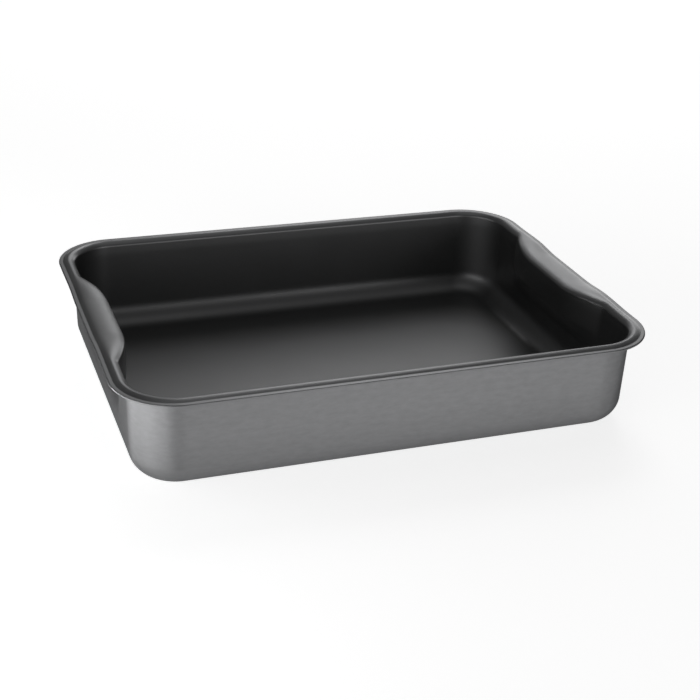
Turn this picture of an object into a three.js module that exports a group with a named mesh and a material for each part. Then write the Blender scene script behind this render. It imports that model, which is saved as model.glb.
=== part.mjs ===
// Deep rectangular roasting pan, pressed from one sheet, with a hand grip pressed into each short side.
// Millimetres, +Z up, X along the length. The origin is the centre of the flat underside.
import * as THREE from "three";

// Overall form
const RIM_LENGTH = 406; // outer edge to outer edge of the rim, along X
const RIM_WIDTH = 305; // outer edge to outer edge of the rim, along Y
const PAN_HEIGHT = 75; // underside of the floor to the crown of the rim
const RIM_CORNER_RADIUS = 46;
const SHEET = 1.6; // thickness of the pressed sheet
const WALL_INSET = 11.1; // rim edge to the outer face of the wall, just under the rim
const WALL_DRAFT = 1.2; // degrees off upright, narrower towards the floor
const FLOOR_FILLET = 17.5; // inside radius between wall and floor

// Rim section, from its outer edge inwards: a flat lip, a step up, a crown that falls to the wall
const LIP_WIDTH = 3.4;
const LIP_DROP = 1.4; // lip below the crown
const STEP_WIDTH = 3.6; // from the lip up to the crown
const CROWN_RISE_ANGLE = 11; // degrees, where the crown leaves the step
const CROWN_EASE = 4; // power that takes this rise out again
const CROWN_FALL_ANGLE = 45; // degrees, where the crown goes over into its roll
const CROWN_BEND = 1; // power that gathers the fall towards that roll
const CROWN_RADIUS = 3; // inside radius of the roll into the wall

// Hand grips: the wall under the rim is pressed in, which widens the rim and leaves a finger recess
const GRIP_SETBACK = 76; // side of the rim to the end of the grip
const GRIP_FLAT = 54; // length of the full-width middle
const GRIP_PRESS = 12.5; // how far the wall is pressed in
const GRIP_FALL_ANGLE = 32; // degrees, where the widened crown goes over into its roll
const GRIP_BEND = 3; // power that gathers the fall towards that roll
const GRIP_ROLL_RADIUS = 3; // inside radius of the roll into the pressed-in wall
const GRIP_TURN_RADIUS = 8; // radius from that stretch into the slope below it
const GRIP_RETURN_ANGLE = 32; // degrees off upright of the slope back to the wall
const GRIP_FOOT_RADIUS = 12; // radius where that slope meets the wall
const GRIP_FOOT_CLEARANCE = 6.9; // plain wall between that radius and the floor fillet
const GRIP_NOTCH_BLEND = 0.08; // softness of the corner at each end, as a share of the press depth
const GRIP_DIP = 1; // rim below its level at the middle of a grip
const GRIP_SHOULDER = 0.8; // rim above its level towards the ends of a grip

// Dark coating on the inside, from part way down the crown over the walls and the floor
const LINING = 0.3;
const LINING_CLEARANCE = 0.05;

// Facets
const CORNER_STEPS = 6;
const EDGE_STEPS = 4;
const STEP_STEPS = 2;
const CROWN_STEPS = 4;
const ROLL_STEPS = 3;
const LINING_START_STEP = 5; // crown and roll steps left bare above the lining
const TURN_STEPS = 2;
const FOOT_STEPS = 2;
const FILLET_STEPS = 5;
const GRIP_FLAT_STEPS = 2;
const GRIP_RAMP_STEPS = 7;
const FLOOR_MARGIN = 2; // flat ring between the fillet and the fan that closes the floor
const LEAST_CORNER_RADIUS = 4;

const QUARTER = Math.PI / 2;
const radians = THREE.MathUtils.degToRad;
const smooth = THREE.MathUtils.smoothstep;
const halfLength = RIM_LENGTH / 2;
const halfWidth = RIM_WIDTH / 2;

// Grip plan: full press depth over the flat, a parabola out to each end, and level rim beyond
const gripEnd = halfWidth - GRIP_SETBACK;
const gripFlatEnd = Math.min(GRIP_FLAT / 2, gripEnd);
const rampAt = (y) => (Math.abs(y) - gripFlatEnd) / Math.max(gripEnd - gripFlatEnd, SHEET);

function pressAt(y) {
  const ramp = Math.max(rampAt(y), 0);
  const depth = 1 - ramp * ramp;
  const softened = (depth + Math.hypot(depth, GRIP_NOTCH_BLEND)) / 2;
  const full = (1 + Math.hypot(1, GRIP_NOTCH_BLEND)) / 2;
  return softened / full;
}

function liftAt(y) {
  const shoulderRamp = 0.65;
  const levelRamp = 1.4;
  const ramp = rampAt(y);
  const rise = smooth(ramp, 0, shoulderRamp) * (GRIP_DIP + GRIP_SHOULDER) - GRIP_DIP;
  return rise - smooth(ramp, shoulderRamp, levelRamp) * GRIP_SHOULDER;
}

// Section points are (inset from the rim edge, height). An arc starts at the angle that its outside
// normal makes with +Z, turned inwards, and includes both ends.
function arc(centre, radius, from, to, steps) {
  return Array.from({ length: steps + 1 }, (_, i) => {
    const angle = from + ((to - from) * i) / steps;
    return new THREE.Vector2(centre.x + radius * Math.sin(angle), centre.y + radius * Math.cos(angle));
  });
}

const draft = radians(WALL_DRAFT);
const riseAngle = radians(CROWN_RISE_ANGLE);
const lipLevel = PAN_HEIGHT - LIP_DROP;
const crownInset = LIP_WIDTH + STEP_WIDTH;
const wallTopInset = WALL_INSET + SHEET;

// Flat lip, then a step that gets flatter upwards
function lipAndStep() {
  const lipStart = new THREE.Vector2(SHEET / 2, lipLevel);
  const footAngle = 2 * Math.atan(LIP_DROP / STEP_WIDTH) - riseAngle;
  const radius = STEP_WIDTH / (Math.sin(footAngle) - Math.sin(riseAngle));
  const centre = new THREE.Vector2(
    crownInset + radius * Math.sin(riseAngle),
    PAN_HEIGHT - radius * Math.cos(riseAngle),
  );
  return [lipStart, ...arc(centre, radius, -footAngle, -riseAngle, STEP_STEPS)];
}

// Crown from the top of the step: it rises a little, falls ever faster and ends in a tight roll
function crown(rollInset, radius, bend, fallAngle, endAngle) {
  const run = rollInset + radius * Math.sin(fallAngle) - crownInset;
  const top = Array.from({ length: CROWN_STEPS + 1 }, (_, i) => {
    const share = i / CROWN_STEPS;
    const rise = (Math.tan(riseAngle) * (1 - (1 - share) ** (CROWN_EASE + 1))) / (CROWN_EASE + 1);
    const fall = (Math.tan(fallAngle) * share ** (bend + 1)) / (bend + 1);
    return new THREE.Vector2(crownInset + run * share, PAN_HEIGHT + run * (rise - fall));
  });
  const rollCentre = new THREE.Vector2(rollInset, top[CROWN_STEPS].y - radius * Math.cos(fallAngle));
  return [...top.slice(0, -1), ...arc(rollCentre, radius, fallAngle, endAngle, ROLL_STEPS)];
}

const plainRollInset = wallTopInset - CROWN_RADIUS * Math.cos(draft);
const plainCrown = crown(plainRollInset, CROWN_RADIUS, CROWN_BEND, radians(CROWN_FALL_ANGLE), QUARTER - draft);
const wallTop = plainCrown[plainCrown.length - 1].y;
const filletTop = SHEET + FLOOR_FILLET * (1 - Math.sin(draft));
const wallInsetAt = (z) => wallTopInset + (wallTop - z) * Math.tan(draft);
const floorInset = wallInsetAt(filletTop) + FLOOR_FILLET * Math.cos(draft);

function floorFillet() {
  const centre = new THREE.Vector2(floorInset, SHEET + FLOOR_FILLET);
  const curve = arc(centre, FLOOR_FILLET, -QUARTER - draft, -2 * QUARTER, FILLET_STEPS);
  return [...curve, new THREE.Vector2(floorInset + FLOOR_MARGIN, SHEET)];
}

// Inner surface at the middle of a grip: widened crown, upright stretch, slope back to the wall
function gripWall() {
  const back = radians(GRIP_RETURN_ANGLE);
  const pressedInset = wallTopInset + GRIP_PRESS;
  const rollInset = pressedInset - GRIP_ROLL_RADIUS;
  const ledge = crown(rollInset, GRIP_ROLL_RADIUS, GRIP_BEND, radians(GRIP_FALL_ANGLE), QUARTER);
  const footLevel = filletTop + GRIP_FOOT_CLEARANCE;
  const footCentre = new THREE.Vector2(
    wallInsetAt(footLevel) + GRIP_FOOT_RADIUS * Math.cos(draft),
    footLevel + GRIP_FOOT_RADIUS * Math.sin(draft),
  );
  const foot = arc(footCentre, GRIP_FOOT_RADIUS, back - QUARTER, -QUARTER - draft, FOOT_STEPS);
  const slopeInset = pressedInset - GRIP_TURN_RADIUS * (1 - Math.cos(back));
  const slopeLevel = foot[0].y + (slopeInset - foot[0].x) / Math.tan(back);
  const turnCentre = new THREE.Vector2(
    pressedInset - GRIP_TURN_RADIUS,
    slopeLevel + GRIP_TURN_RADIUS * Math.sin(back),
  );
  const turn = arc(turnCentre, GRIP_TURN_RADIUS, QUARTER, QUARTER + back, TURN_STEPS);
  return [...ledge, ...turn, ...foot];
}

// Inner surface away from the grips, with a point for each point of the grip's section
function plainWall(gripPoints) {
  const below = gripPoints.slice(plainCrown.length);
  return [...plainCrown, ...below.map((p) => new THREE.Vector2(wallInsetAt(p.y), p.y))];
}

const gripPoints = gripWall();
const plainPoints = plainWall(gripPoints);
const rimPoints = lipAndStep();
const filletPoints = floorFillet();

// Inner surface from the lip to the floor, pressed in by a share of the grip and lifted at the rim
function innerSurface(press, lift) {
  const wall = plainPoints.map((p, i) => new THREE.Vector2().lerpVectors(p, gripPoints[i], press));
  const surface = [...rimPoints, ...wall.slice(1), ...filletPoints].map((p) => p.clone());
  for (const p of surface) {
    p.y += lift * smooth(p.y, filletTop, wallTop);
  }
  return surface;
}

// A section path moved along its normals, inwards or upwards where the distance is positive
function offsetPath(path, distance) {
  const normals = path.slice(1).map((p, i) => {
    const run = p.clone().sub(path[i]).normalize();
    return new THREE.Vector2(-run.y, run.x);
  });
  return path.map((p, i) => {
    const before = normals[Math.max(i - 1, 0)];
    const after = normals[Math.min(i, normals.length - 1)];
    const mitre = before.clone().add(after).divideScalar(1 + before.dot(after));
    return p.clone().addScaledVector(mitre, distance);
  });
}

// Plan stations, anticlockwise from the middle of the right-hand short side. Each gives the plan point
// at an inset from the rim edge, and the y that sets its share of the grip.
function cornerStations(signX, signY, startAngle) {
  return Array.from({ length: CORNER_STEPS + 1 }, (_, i) => {
    const angle = startAngle + (QUARTER * i) / CORNER_STEPS;
    const at = (inset) => {
      const radius = Math.max(RIM_CORNER_RADIUS - inset, LEAST_CORNER_RADIUS);
      return new THREE.Vector2(
        signX * (halfLength - inset - radius) + radius * Math.cos(angle),
        signY * (halfWidth - inset - radius) + radius * Math.sin(angle),
      );
    };
    return { at, gripY: halfWidth };
  });
}

function gripStations(signX) {
  const heights = [];
  for (let i = 0; i < GRIP_FLAT_STEPS; i++) {
    heights.push((gripFlatEnd * i) / GRIP_FLAT_STEPS);
  }
  // Steps close up towards the end of the grip, and one lies just past it
  const rampLength = gripEnd - gripFlatEnd;
  for (let i = 0; i <= GRIP_RAMP_STEPS; i++) {
    heights.push(gripFlatEnd + rampLength * Math.sin((QUARTER * i) / GRIP_RAMP_STEPS));
  }
  const cornerStart = halfWidth - RIM_CORNER_RADIUS;
  heights.push(gripEnd + (cornerStart - gripEnd) / 3);
  const rising = [...heights.slice(1).reverse().map((y) => -y), ...heights];
  return rising.map((y) => ({
    at: (inset) => new THREE.Vector2(signX * (halfLength - inset), signX * y),
    gripY: y,
  }));
}

const stations = [
  ...gripStations(1),
  ...cornerStations(1, 1, 0),
  ...cornerStations(-1, 1, QUARTER),
  ...gripStations(-1),
  ...cornerStations(-1, -1, 2 * QUARTER),
  ...cornerStations(1, -1, 3 * QUARTER),
];

// Closed shell: the section path of each station joined to the next, with a fan over each floor
function loft(sectionAt) {
  const rings = stations.map((station) => {
    const y = station.gripY;
    const surface = y === halfWidth ? innerSurface(0, 0) : innerSurface(pressAt(y), liftAt(y));
    return sectionAt(surface).map((p) => {
      const plan = station.at(p.x);
      return new THREE.Vector3(plan.x, plan.y, p.y);
    });
  });
  const count = rings[0].length;
  const last = count - 1;
  const under = rings.length * count;
  const over = under + 1;
  const underCentre = new THREE.Vector3(0, 0, rings[0][0].z);
  const overCentre = new THREE.Vector3(0, 0, rings[0][last].z);
  const points = [...rings.flat(), underCentre, overCentre];
  const index = [];
  for (let i = 0; i < rings.length; i++) {
    const here = i * count;
    const next = ((i + 1) % rings.length) * count;
    for (let j = 0; j < last; j++) {
      // The diagonal runs down towards the next station, so that layers on one surface share their facets
      const goesDown = points[here + j].z >= points[here + j + 1].z;
      const falling = [here + j, next + j, next + j + 1, here + j, next + j + 1, here + j + 1];
      const climbing = [here + j, next + j, here + j + 1, next + j, next + j + 1, here + j + 1];
      index.push(...(goesDown ? falling : climbing));
    }
    index.push(under, next, here, over, here + last, next + last);
  }
  const geometry = new THREE.BufferGeometry().setFromPoints(points);
  geometry.setIndex(index);
  geometry.computeVertexNormals();
  return geometry;
}

// Pressed sheet: underside, rounded edge of the lip, inner surface
function panSection(surface) {
  const underside = offsetPath(surface, -SHEET);
  const lipStart = surface[0];
  const edgeCentre = new THREE.Vector2(lipStart.x, lipStart.y - SHEET / 2);
  const edge = arc(edgeCentre, SHEET / 2, -2 * QUARTER, 0, EDGE_STEPS);
  return [...underside.slice(1).reverse(), ...edge, ...surface.slice(1)];
}

// Coating on the inner surface, from part way down the crown
function liningSection(surface) {
  const outer = offsetPath(surface, LINING_CLEARANCE);
  const inner = offsetPath(surface, LINING_CLEARANCE + LINING);
  const start = rimPoints.length + LINING_START_STEP - 1;
  return [...outer.slice(start).reverse(), ...inner.slice(start)];
}

function panBody() {
  const satinMetal = new THREE.MeshStandardMaterial({ color: 0x85878a, metalness: 0.9, roughness: 0.45 });
  const mesh = new THREE.Mesh(loft(panSection), satinMetal);
  mesh.name = "pan_body";
  return mesh;
}

function nonstickLining() {
  const darkCoating = new THREE.MeshStandardMaterial({ color: 0x3a3b3d, metalness: 0.4, roughness: 0.45 });
  const mesh = new THREE.Mesh(loft(liningSection), darkCoating);
  mesh.name = "nonstick_lining";
  return mesh;
}

const roastingPan = new THREE.Group();
roastingPan.add(panBody(), nonstickLining());

export default roastingPan;
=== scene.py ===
import math

import bpy
import numpy as np
from mathutils import Matrix, Vector


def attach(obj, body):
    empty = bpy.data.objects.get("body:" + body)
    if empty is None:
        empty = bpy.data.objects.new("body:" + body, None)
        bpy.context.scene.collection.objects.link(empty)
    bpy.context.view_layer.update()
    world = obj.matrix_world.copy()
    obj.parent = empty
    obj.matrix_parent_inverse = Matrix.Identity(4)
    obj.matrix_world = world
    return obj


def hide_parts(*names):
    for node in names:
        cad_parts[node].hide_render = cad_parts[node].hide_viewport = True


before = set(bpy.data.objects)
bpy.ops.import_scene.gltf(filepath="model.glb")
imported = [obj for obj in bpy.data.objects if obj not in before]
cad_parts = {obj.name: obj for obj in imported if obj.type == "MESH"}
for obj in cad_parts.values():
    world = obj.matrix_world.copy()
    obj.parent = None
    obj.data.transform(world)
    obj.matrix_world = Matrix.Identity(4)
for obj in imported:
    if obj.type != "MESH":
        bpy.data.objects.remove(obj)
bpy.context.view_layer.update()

# Metres in a millimetre
MM = 0.001

# Sizes in millimetres, as in the part's source
RIM_LENGTH = 406
RIM_WIDTH = 305
PAN_HEIGHT = 75
RIM_CORNER_RADIUS = 46
SHEET = 1.6
WALL_INSET = 11.1
WALL_DRAFT = math.radians(1.2)
FLOOR_FILLET = 17.5
LIP_WIDTH = 3.4
LIP_DROP = 1.4
STEP_WIDTH = 3.6
CROWN_RISE_ANGLE = math.radians(11)
CROWN_EASE = 4
CROWN_FALL_ANGLE = math.radians(45)
CROWN_BEND = 1
CROWN_RADIUS = 3
GRIP_SETBACK = 76
GRIP_FLAT = 54
GRIP_PRESS = 12.5
GRIP_FALL_ANGLE = math.radians(32)
GRIP_BEND = 3
GRIP_ROLL_RADIUS = 3
GRIP_TURN_RADIUS = 8
GRIP_RETURN_ANGLE = math.radians(32)
GRIP_FOOT_RADIUS = 12
GRIP_FOOT_CLEARANCE = 6.9
GRIP_NOTCH_BLEND = 0.08
GRIP_DIP = 1.0
GRIP_SHOULDER = 0.8
LINING = 0.3
LINING_CLEARANCE = 0.05

# Fineness of the smooth meshes: steps in each curve, then the longest steps in millimetres
CORNER_STEPS = 28
EDGE_STEPS = 10
LIP_STEPS = 8
STEP_STEPS = 12
CROWN_STEPS = 20
ROLL_STEPS = 16
TURN_STEPS = 10
FOOT_STEPS = 10
FILLET_STEPS = 24
LONGEST_STEP = 2.5
GRIP_SPACING = 1.5

# Narrow strips beside the corners and round the floor, and the least corner radius in plan, in millimetres,
# then the angle from which an edge is shaded as sharp
GUARD = 3
FLOOR_MARGIN = 2
LEAST_CORNER_RADIUS = 4
CREASE = math.radians(50)

# Top edge of the coating: the step of the section where it starts, half way down the roll, the millimetres
# over which it thins out towards that edge, and the share of its thickness that is left there
LINING_START_STEP = CROWN_STEPS + ROLL_STEPS // 2
LINING_FEATHER = 8
LINING_EDGE_SHARE = 0.05

QUARTER = math.pi / 2
half_length = RIM_LENGTH / 2
half_width = RIM_WIDTH / 2
corner_start = half_width - RIM_CORNER_RADIUS


# Eased share of the way from low to high
def smooth(value, low, high):
    share = np.clip((value - low) / (high - low), 0, 1)
    return share * share * (3 - 2 * share)


# Way travelled along a path, up to each of its points
def travelled(path):
    steps = np.linalg.norm(np.diff(path, axis=0), axis=1)
    return np.concatenate([[0], np.cumsum(steps)])


# Grip plan: full press depth over the flat, a parabola out to each end, and level rim beyond
grip_end = half_width - GRIP_SETBACK
grip_flat_end = GRIP_FLAT / 2


def ramp_at(y):
    return (abs(y) - grip_flat_end) / (grip_end - grip_flat_end)


def press_at(y):
    depth = 1 - max(ramp_at(y), 0) ** 2
    return (depth + math.hypot(depth, GRIP_NOTCH_BLEND)) / (1 + math.hypot(1, GRIP_NOTCH_BLEND))


def lift_at(y):
    shoulder_ramp = 0.65
    level_ramp = 1.4
    ramp = ramp_at(y)
    rise = smooth(ramp, 0, shoulder_ramp) * (GRIP_DIP + GRIP_SHOULDER) - GRIP_DIP
    return rise - smooth(ramp, shoulder_ramp, level_ramp) * GRIP_SHOULDER


# Section points are (inset from the rim edge, height). An arc starts at the angle that its outside
# normal makes with +Z, turned inwards, and includes both ends.
def arc(centre, radius, start, end, steps):
    angles = np.linspace(start, end, steps + 1)
    return np.stack([centre[0] + radius * np.sin(angles), centre[1] + radius * np.cos(angles)], 1)


lip_level = PAN_HEIGHT - LIP_DROP
crown_inset = LIP_WIDTH + STEP_WIDTH
wall_top_inset = WALL_INSET + SHEET


# Flat lip, then a step that gets flatter upwards
def lip_and_step():
    lip = np.linspace((SHEET / 2, lip_level), (LIP_WIDTH, lip_level), LIP_STEPS + 1)
    foot_angle = 2 * math.atan(LIP_DROP / STEP_WIDTH) - CROWN_RISE_ANGLE
    radius = STEP_WIDTH / (math.sin(foot_angle) - math.sin(CROWN_RISE_ANGLE))
    centre = (
        crown_inset + radius * math.sin(CROWN_RISE_ANGLE),
        PAN_HEIGHT - radius * math.cos(CROWN_RISE_ANGLE),
    )
    return np.vstack([lip, arc(centre, radius, -foot_angle, -CROWN_RISE_ANGLE, STEP_STEPS)[1:]])


# Crown from the top of the step to the wall: it rises a little, falls ever faster and ends in a tight roll
def crown(roll_inset, radius, bend, fall_angle, end_angle):
    run = roll_inset + radius * math.sin(fall_angle) - crown_inset
    share = np.linspace(0, 1, CROWN_STEPS + 1)
    rise = math.tan(CROWN_RISE_ANGLE) * (1 - (1 - share) ** (CROWN_EASE + 1)) / (CROWN_EASE + 1)
    fall = math.tan(fall_angle) * share ** (bend + 1) / (bend + 1)
    top = np.stack([crown_inset + run * share, PAN_HEIGHT + run * (rise - fall)], 1)
    roll_centre = (roll_inset, top[-1, 1] - radius * math.cos(fall_angle))
    return np.vstack([top[:-1], arc(roll_centre, radius, fall_angle, end_angle, ROLL_STEPS)])


plain_crown = crown(
    wall_top_inset - CROWN_RADIUS * math.cos(WALL_DRAFT),
    CROWN_RADIUS,
    CROWN_BEND,
    CROWN_FALL_ANGLE,
    QUARTER - WALL_DRAFT,
)
wall_top = plain_crown[-1, 1]
fillet_top = SHEET + FLOOR_FILLET * (1 - math.sin(WALL_DRAFT))


def wall_inset_at(z):
    return wall_top_inset + (wall_top - z) * math.tan(WALL_DRAFT)


floor_inset = wall_inset_at(fillet_top) + FLOOR_FILLET * math.cos(WALL_DRAFT)


def floor_fillet():
    centre = (floor_inset, SHEET + FLOOR_FILLET)
    curve = arc(centre, FLOOR_FILLET, -QUARTER - WALL_DRAFT, -2 * QUARTER, FILLET_STEPS)
    return np.vstack([curve, [(floor_inset + FLOOR_MARGIN, SHEET)]])


# Inner surface at the middle of a grip: ledge, roll, short upright turn, slope back to the wall
def grip_wall():
    back = GRIP_RETURN_ANGLE
    pressed_inset = wall_top_inset + GRIP_PRESS
    ledge = crown(pressed_inset - GRIP_ROLL_RADIUS, GRIP_ROLL_RADIUS, GRIP_BEND, GRIP_FALL_ANGLE, QUARTER)
    foot_level = fillet_top + GRIP_FOOT_CLEARANCE
    foot_centre = (
        wall_inset_at(foot_level) + GRIP_FOOT_RADIUS * math.cos(WALL_DRAFT),
        foot_level + GRIP_FOOT_RADIUS * math.sin(WALL_DRAFT),
    )
    foot = arc(foot_centre, GRIP_FOOT_RADIUS, back - QUARTER, -QUARTER - WALL_DRAFT, FOOT_STEPS)
    slope_inset = pressed_inset - GRIP_TURN_RADIUS * (1 - math.cos(back))
    slope_level = foot[0, 1] + (slope_inset - foot[0, 0]) / math.tan(back)
    turn_centre = (pressed_inset - GRIP_TURN_RADIUS, slope_level + GRIP_TURN_RADIUS * math.sin(back))
    turn = arc(turn_centre, GRIP_TURN_RADIUS, QUARTER, QUARTER + back, TURN_STEPS)
    return np.vstack([ledge, turn, foot])


# Inner surface away from the grips, with a point for each point of the grip's section
def plain_wall(grip):
    below = grip[len(plain_crown):, 1]
    return np.vstack([plain_crown, np.stack([wall_inset_at(below), below], 1)])


# Long straight runs are cut into short ones, alike on both sections, so that shading stays true
def fill_in(first, second):
    rows = [[first[0], second[0]]]
    for i in range(1, len(first)):
        longest = max(np.linalg.norm(first[i] - first[i - 1]), np.linalg.norm(second[i] - second[i - 1]))
        cuts = max(1, math.ceil(longest / LONGEST_STEP))
        for j in range(1, cuts + 1):
            t = j / cuts
            rows.append([first[i - 1] * (1 - t) + first[i] * t, second[i - 1] * (1 - t) + second[i] * t])
    filled = np.array(rows)
    return filled[:, 0], filled[:, 1]


rim_points = lip_and_step()
fillet_points = floor_fillet()
grip_section = grip_wall()
plain_section = plain_wall(grip_section)
plain_points, grip_points = fill_in(
    np.vstack([plain_section, fillet_points]),
    np.vstack([grip_section, fillet_points]),
)


# Inner surface from the lip to the floor, pressed in by a share of the grip and lifted at the rim
def inner_surface(press, lift):
    wall = plain_points * (1 - press) + grip_points * press
    surface = np.vstack([rim_points, wall[1:]])
    surface[:, 1] += lift * smooth(surface[:, 1], fillet_top, wall_top)
    return surface


# A section path moved along its normals, inwards or upwards where the distance is positive
def offset_path(path, distance):
    run = np.diff(path, axis=0)
    run /= np.linalg.norm(run, axis=1)[:, None]
    normals = np.stack([-run[:, 1], run[:, 0]], 1)
    before = np.vstack([normals[:1], normals])
    after = np.vstack([normals, normals[-1:]])
    mitre = (before + after) / (1 + (before * after).sum(1))[:, None]
    return path + mitre * np.reshape(distance, (-1, 1))


# Plan stations: a function from inset to plan point, the share of the grip's press and the lift of the rim
def corner_station(sign_x, sign_y, angle):
    def at(inset):
        radius = np.maximum(RIM_CORNER_RADIUS - inset, LEAST_CORNER_RADIUS)
        x = sign_x * (half_length - inset - radius) + radius * math.cos(angle)
        y = sign_y * (half_width - inset - radius) + radius * math.sin(angle)
        return np.stack([x, y], 1)

    return at, 0, 0


def grip_station(sign_x, y):
    def at(inset):
        return np.stack([sign_x * (half_length - inset), np.full_like(inset, sign_x * y)], 1)

    return at, press_at(y), lift_at(y)


def long_side_station(sign_y, x):
    def at(inset):
        return np.stack([np.full_like(inset, x), sign_y * (half_width - inset)], 1)

    return at, 0, 0


# All stations, anticlockwise from the right-hand short side. Each corner has the signs of its x and y, and
# its quarter turns from +X.
def stations():
    guard_y = corner_start - GUARD / 2
    guard_x = half_length - RIM_CORNER_RADIUS - GUARD
    count = math.ceil(guard_y / GRIP_SPACING)
    along_grip = np.linspace(-guard_y, guard_y, 2 * count + 1)
    corners = ((1, 1, 0), (-1, 1, 1), (-1, -1, 2), (1, -1, 3))
    found = []
    for sign_x, sign_y, turn in corners:
        if sign_x == sign_y:
            found += [grip_station(sign_x, y) for y in along_grip]
        angles = QUARTER * (turn + np.linspace(0, 1, CORNER_STEPS + 1))
        found += [corner_station(sign_x, sign_y, a) for a in angles]
        if sign_x == sign_y:
            found += [long_side_station(sign_y, x) for x in (sign_x * guard_x, -sign_x * guard_x)]
    return found


# Closed shell: the section path of each station joined to the next, with one face over each floor.
# The map along the surface holds the way round the shell's edge, which lies half way along the section, and
# the way along the section, in metres. The first strips of the section, as many as are given as outside,
# take the second material.
def loft(name, section_at, outside=0):
    rings = []
    for at, press, lift in stations():
        section = section_at(inner_surface(press, lift))
        rings.append(np.column_stack([at(section[:, 0]), section[:, 1]]))
    points = np.array(rings) * MM
    round_count, count = points.shape[:2]
    edge = points[:, count // 2]
    way_round = travelled(np.vstack([edge, edge[:1]]))
    way_along = travelled(points[0])
    faces = []
    maps = []
    for i in range(round_count):
        here = i * count
        following = (i + 1) % round_count * count
        for j in range(count - 1):
            faces.append((here + j, following + j, following + j + 1, here + j + 1))
            maps += [
                (way_round[i], way_along[j]),
                (way_round[i + 1], way_along[j]),
                (way_round[i + 1], way_along[j + 1]),
                (way_round[i], way_along[j + 1]),
            ]
    flat = points.reshape(-1, 3)
    first_floor = range((round_count - 1) * count, -1, -count)
    last_floor = range(count - 1, round_count * count, count)
    for ring in (first_floor, last_floor):
        faces.append(tuple(ring))
        maps += [tuple(flat[k, :2]) for k in ring]
    mesh = bpy.data.meshes.new(name)
    mesh.from_pydata(flat.tolist(), [], faces)
    layer = mesh.uv_layers.new(name="along_surface")
    layer.data.foreach_set("uv", np.array(maps, np.float32).ravel())
    strips = [j < outside for i in range(round_count) for j in range(count - 1)]
    mesh.polygons.foreach_set("material_index", np.array(strips + [outside > 0, False], np.int32))
    mesh.shade_smooth()
    mesh.set_sharp_from_angle(angle=CREASE)
    mesh.update()
    piece = bpy.data.objects.new(name, mesh)
    bpy.context.scene.collection.objects.link(piece)
    return piece


# Pressed sheet: underside, rounded edge of the lip, inner surface
def pan_section(surface):
    underside = offset_path(surface, -SHEET)
    edge_centre = (surface[0, 0], surface[0, 1] - SHEET / 2)
    edge = arc(edge_centre, SHEET / 2, -2 * QUARTER, 0, EDGE_STEPS)
    return np.vstack([underside[:0:-1], edge, surface[1:]])


# Coating on the inner surface, from half way down the roll under the crown, thinned out at its top edge
def lining_section(surface):
    start = len(rim_points) + LINING_START_STEP - 1
    covered = surface[start:]
    fullness = smooth(travelled(covered), 0, LINING_FEATHER)
    thickness = LINING * (LINING_EDGE_SHARE + (1 - LINING_EDGE_SHARE) * fullness)
    under = offset_path(covered, LINING_CLEARANCE)
    over = offset_path(covered, LINING_CLEARANCE + thickness)
    return np.vstack([under[::-1], over])


WHITE = (1, 1, 1, 1)

# Range that the values of a noise mostly keep to
NOISE_LOW = 0.25
NOISE_HIGH = 0.75


# Nodes of one material. Each helper adds a node and links what it is given.
class Nodes:
    def __init__(self, name):
        self.material = bpy.data.materials.new(name)
        self.material.use_nodes = True
        self.tree = self.material.node_tree
        self.shader = self.tree.nodes["Principled BSDF"]

    def add(self, kind, values=None, links=None, **settings):
        node = self.tree.nodes.new(kind)
        for key, value in settings.items():
            setattr(node, key, value)
        for key, value in (values or {}).items():
            node.inputs[key].default_value = value
        for key, socket in (links or {}).items():
            self.tree.links.new(socket, node.inputs[key])
        return node

    def feed(self, key, socket):
        self.tree.links.new(socket, self.shader.inputs[key])

    def place(self, kind):
        return self.add("ShaderNodeTexCoord").outputs[kind]

    def scaled(self, vector, scale):
        return self.add("ShaderNodeMapping", {"Scale": scale}, {"Vector": vector}).outputs["Vector"]

    def noise(self, vector, scale, detail=2.0, roughness=0.5):
        values = {"Scale": scale, "Detail": detail, "Roughness": roughness}
        return self.add("ShaderNodeTexNoise", values, {"Vector": vector}).outputs["Fac"]

    def spread(self, socket, low, high):
        values = {"From Min": NOISE_LOW, "From Max": NOISE_HIGH, "To Min": low, "To Max": high}
        return self.add("ShaderNodeMapRange", values, {"Value": socket}).outputs["Result"]

    def tint(self, colour, tone):
        scaled = self.add("ShaderNodeVectorMath", {0: colour}, {"Scale": tone}, operation="SCALE")
        self.feed("Base Color", scaled.outputs["Vector"])


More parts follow.
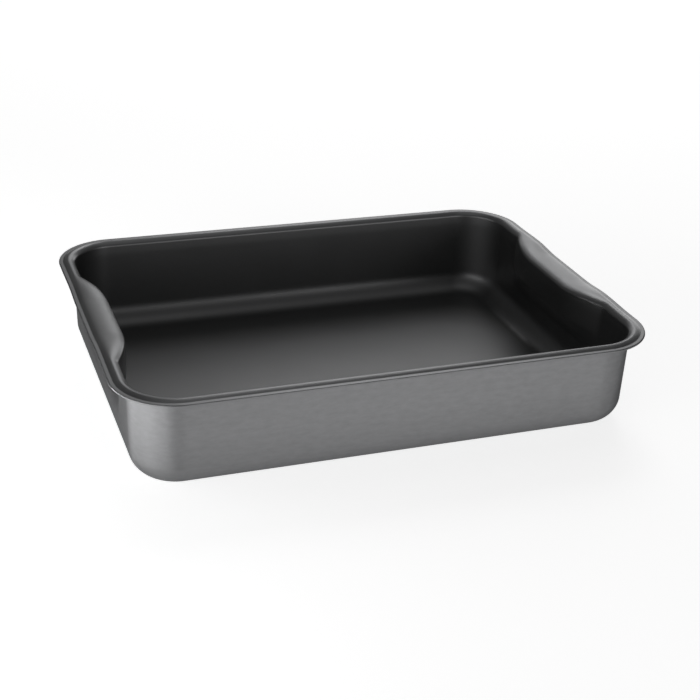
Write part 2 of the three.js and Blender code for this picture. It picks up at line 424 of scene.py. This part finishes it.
# Satin metal, finished in fine streaks round the pan. The edge tint sets how much it reflects at a grazing
# angle, and the last two tones are painted shade: the colour is darker at the foot of the wall and lighter
# further up.
def satin_metal(name, colour, roughness, brushed, edge_tint, streak_tone, foot_painted_shade=1.0, wall_painted_light=1.0):
    streaks_per_metre = (110, 300, 1)
    streak_scale = 1.0
    streak_detail = 4.0
    streak_harshness = 0.65
    roughness_spread = 0.03
    quarter_turn = 0.25
    foot_height = 0.006
    wall_height = 0.046
    nodes = Nodes(name)
    shader = nodes.shader
    shader.inputs["Metallic"].default_value = 1.0
    shader.inputs["Specular Tint"].default_value = (edge_tint, edge_tint, edge_tint, 1)
    shader.inputs["Anisotropic"].default_value = brushed
    shader.inputs["Anisotropic Rotation"].default_value = quarter_turn
    tangent = nodes.add("ShaderNodeTangent", direction_type="UV_MAP", uv_map="along_surface")
    nodes.feed("Tangent", tangent.outputs["Tangent"])
    stretched = nodes.scaled(nodes.place("UV"), streaks_per_metre)
    streaks = nodes.noise(stretched, streak_scale, streak_detail, streak_harshness)
    height = nodes.add("ShaderNodeSeparateXYZ", links={"Vector": nodes.place("Object")})
    # Painted shade: the colour darkens smoothly from the upper wall down to its foot
    painted_shade = nodes.add(
        "ShaderNodeMapRange",
        {"From Min": foot_height, "From Max": wall_height, "To Min": foot_painted_shade, "To Max": wall_painted_light},
        {"Value": height.outputs["Z"]},
        interpolation_type="SMOOTHSTEP",
    )
    tones = {0: nodes.spread(streaks, 1 - streak_tone, 1 + streak_tone), 1: painted_shade.outputs["Result"]}
    nodes.tint(colour, nodes.add("ShaderNodeMath", links=tones, operation="MULTIPLY").outputs["Value"])
    nodes.feed("Roughness", nodes.spread(streaks, roughness + roughness_spread, roughness - roughness_spread))
    return nodes.material


# Satin coating with a fine grain and soft, wide changes of gloss
def satin_coating(name, colour, roughness):
    grain_per_metre = 1400
    grain_tone = 0.04
    patches_per_metre = 22
    patch_detail = 3.0
    roughness_spread = 0.02
    nodes = Nodes(name)
    nodes.shader.inputs["Metallic"].default_value = 1.0
    place = nodes.place("Object")
    grain = nodes.noise(place, grain_per_metre)
    nodes.tint(colour, nodes.spread(grain, 1 - grain_tone, 1 + grain_tone))
    patches = nodes.noise(place, patches_per_metre, patch_detail)
    nodes.feed("Roughness", nodes.spread(patches, roughness - roughness_spread, roughness + roughness_spread))
    return nodes.material


# Camera at the photograph's viewing angle, for a frame of 700 by 700
IMAGE_SIZE = 700
FOCAL_PIXELS = 1357.17
VIEW_AZIMUTH = math.radians(-20.5395)
VIEW_ELEVATION = math.radians(25.9145)
VIEW_ROLL = math.radians(2.5708)
VIEW_DISTANCE = 1.0977168
VIEW_RIGHT = 0.0098175
VIEW_UP = 0.0197491
SENSOR = 36
CLIP_NEAR = 0.05
CLIP_FAR = 100


def add_camera():
    back = Vector((
        math.sin(VIEW_AZIMUTH) * math.cos(VIEW_ELEVATION),
        -math.cos(VIEW_AZIMUTH) * math.cos(VIEW_ELEVATION),
        math.sin(VIEW_ELEVATION),
    ))
    level = Vector((math.cos(VIEW_AZIMUTH), math.sin(VIEW_AZIMUTH), 0))
    upright = back.cross(level)
    right = math.cos(VIEW_ROLL) * level + math.sin(VIEW_ROLL) * upright
    up = math.cos(VIEW_ROLL) * upright - math.sin(VIEW_ROLL) * level
    place = back * VIEW_DISTANCE + right * VIEW_RIGHT + up * VIEW_UP
    data = bpy.data.cameras.new("camera")
    data.sensor_width = SENSOR
    data.lens = SENSOR * FOCAL_PIXELS / IMAGE_SIZE
    data.clip_start = CLIP_NEAR
    data.clip_end = CLIP_FAR
    camera = bpy.data.objects.new("camera", data)
    columns = Matrix((right, up, back)).transposed().to_4x4()
    camera.matrix_world = Matrix.Translation(place) @ columns
    bpy.context.scene.collection.objects.link(camera)
    bpy.context.scene.camera = camera


# White floor with a glow that only the camera and reflections see, so that it looks white beside the pan
# and still takes a soft shadow
FLOOR_HALF = 40.0
FLOOR_GAP = 0.0005
FLOOR_GLOW = 0.71
FLOOR_COLOUR = (0.9, 0.9, 0.9, 1)


def add_floor():
    signs = ((-1, -1), (1, -1), (1, 1), (-1, 1))
    mesh = bpy.data.meshes.new("floor")
    mesh.from_pydata([(x * FLOOR_HALF, y * FLOOR_HALF, 0) for x, y in signs], [], [(0, 1, 2, 3)])
    floor = bpy.data.objects.new("floor", mesh)
    floor.location.z = -FLOOR_GAP
    bpy.context.scene.collection.objects.link(floor)
    nodes = Nodes("white_floor")
    shader = nodes.shader
    shader.inputs["Base Color"].default_value = FLOOR_COLOUR
    shader.inputs["Roughness"].default_value = 1.0
    shader.inputs["Specular IOR Level"].default_value = 0.0
    shader.inputs["Emission Color"].default_value = WHITE
    rays = nodes.add("ShaderNodeLightPath").outputs
    seen = rays["Is Camera Ray"]
    for kind in ("Is Glossy Ray", "Is Transmission Ray"):
        either = nodes.add("ShaderNodeMath", links={0: seen, 1: rays[kind]}, operation="MAXIMUM")
        seen = either.outputs["Value"]
    glow = nodes.add("ShaderNodeMath", {1: FLOOR_GLOW}, {0: seen}, operation="MULTIPLY")
    nodes.feed("Emission Strength", glow.outputs["Value"])
    nodes.material.cycles.emission_sampling = "NONE"
    mesh.materials.append(nodes.material)


# Softboxes, as seen from the pan: azimuth from +X, elevation, half width as a turn of azimuth and half height
# in degrees, then distance in metres and brightness
FAR = 3.2
NEAR = 0.6
SOFTBOXES = {
    "key_low": (46, 6, 12, 6, FAR, 1.14),
    "key_middle": (58, 18, 18, 6, FAR, 1.0),
    "key_upper": (66, 31, 15, 7, FAR, 0.95),
    "key_top": (64, 48, 16, 10, FAR, 1.97),
    "back": (83, 18, 7, 6, FAR, 0.52),
    "back_upper": (88, 31, 7, 7, FAR, 0.26),
    "left": (212, 10, 34, 10, FAR, 1.35),
    "left_strip_back": (165, 4, 14, 4, NEAR, 15.5),
    "left_strip": (195, 4, 16, 4, NEAR, 8.0),
    "left_strip_front": (222, 4, 12, 4, NEAR, 4.5),
    "front": (290, 9, 11, 9, FAR, 2.65),
    "overhead": (0, 88, 85, 20, FAR, 0.16),
}
ROOM_LIGHT = 0.113


def add_softbox(name, azimuth, elevation, half_wide, half_high, distance, brightness):
    turn = math.radians(azimuth)
    tilt = math.radians(elevation)
    away = Vector((math.cos(tilt) * math.cos(turn), math.cos(tilt) * math.sin(turn), math.sin(tilt)))
    data = bpy.data.lights.new(name, "AREA")
    data.shape = "RECTANGLE"
    data.size = 2 * distance * math.cos(tilt) * math.tan(math.radians(half_wide))
    data.size_y = 2 * distance * math.tan(math.radians(half_high))
    data.energy = math.pi * data.size * data.size_y * brightness
    lamp = bpy.data.objects.new(name, data)
    lamp.location = away * distance
    lamp.rotation_euler = away.to_track_quat("Z", "Y").to_euler()
    lamp.visible_camera = False
    bpy.context.scene.collection.objects.link(lamp)


def add_light():
    for name, values in SOFTBOXES.items():
        add_softbox(name, *values)
    world = bpy.data.worlds.new("dim_room")
    bpy.context.scene.world = world
    world.use_nodes = True
    background = world.node_tree.nodes["Background"]
    background.inputs["Color"].default_value = WHITE
    background.inputs["Strength"].default_value = ROOM_LIGHT


bpy.context.scene.view_settings.view_transform = "Standard"
add_camera()
add_floor()
add_light()

METAL_COLOUR = (0.219, 0.2205, 0.2245)
LINING_COLOUR = (0.189, 0.19, 0.192)
rim_metal = satin_metal(
    "rim_metal",
    METAL_COLOUR,
    roughness=0.34,
    brushed=0.3,
    edge_tint=1.0,
    streak_tone=0.01,
)
# The brushed outside carries painted shade, darker towards the foot of the wall and lighter above
outside_metal = satin_metal(
    "brushed_outside",
    METAL_COLOUR,
    roughness=0.45,
    brushed=0.75,
    edge_tint=0.24,
    streak_tone=0.06,
    foot_painted_shade=0.88,
    wall_painted_light=1.06,
)
lining_coat = satin_coating("dark_lining", LINING_COLOUR, roughness=0.42)

# Outside of the sheet: its underside and the rounded edge of the lip
outside_strips = len(inner_surface(0, 0)) - 1 + EDGE_STEPS
pan = loft("pan", pan_section, outside_strips)
pan.data.materials.append(rim_metal)
pan.data.materials.append(outside_metal)
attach(pan, "root")
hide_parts("pan_body")

lining = loft("lining", lining_section)
lining.data.materials.append(lining_coat)
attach(lining, "root")
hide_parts("nonstick_lining")
